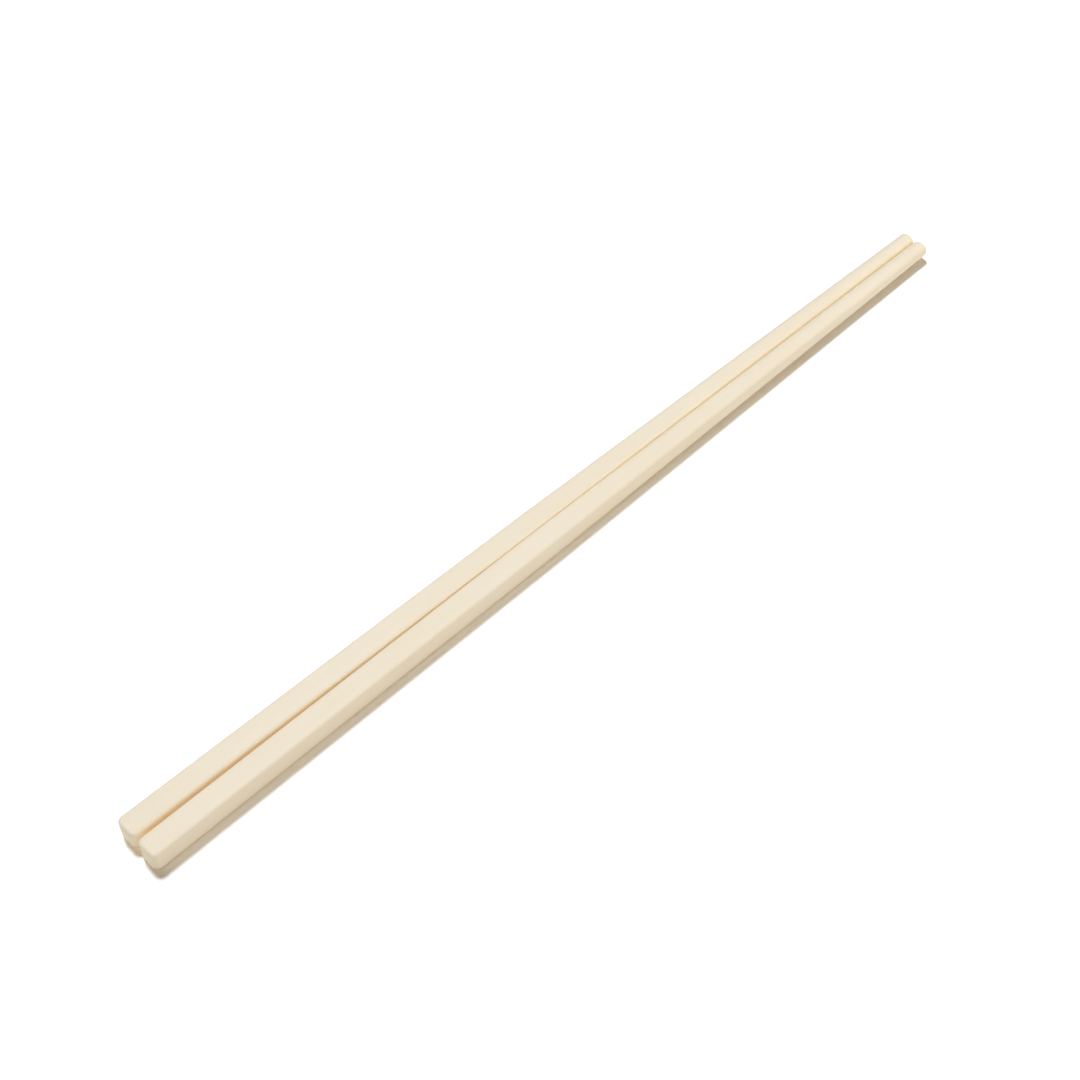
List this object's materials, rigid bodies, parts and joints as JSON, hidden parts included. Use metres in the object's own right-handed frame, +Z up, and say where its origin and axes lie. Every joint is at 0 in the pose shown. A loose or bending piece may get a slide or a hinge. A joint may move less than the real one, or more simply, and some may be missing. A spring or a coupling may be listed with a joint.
{
  "type": "pair of melamine chopsticks",
  "caption": "Ivory melamine chopsticks lying side by side: square handles with rounded corners that taper to blunt, nearly round tips, for picking up and serving food.",
  "frame": {"origin": "on the table surface, under the middle of the pair's box", "axes": "+X along the sticks from the butts to the tips, +Y from the front stick to the rear stick, +Z up from the table"},
  "size_m": [0.27, 0.0134, 0.0062],
  "materials": {
    "ivory_melamine": "moulded ivory melamine, satin gloss, slightly translucent, with a very fine moulded texture"
  },
  "bodies": {
    "root": {"front_chopstick": "ivory_melamine", "rear_chopstick": "ivory_melamine"}
  },
  "joints": []
}
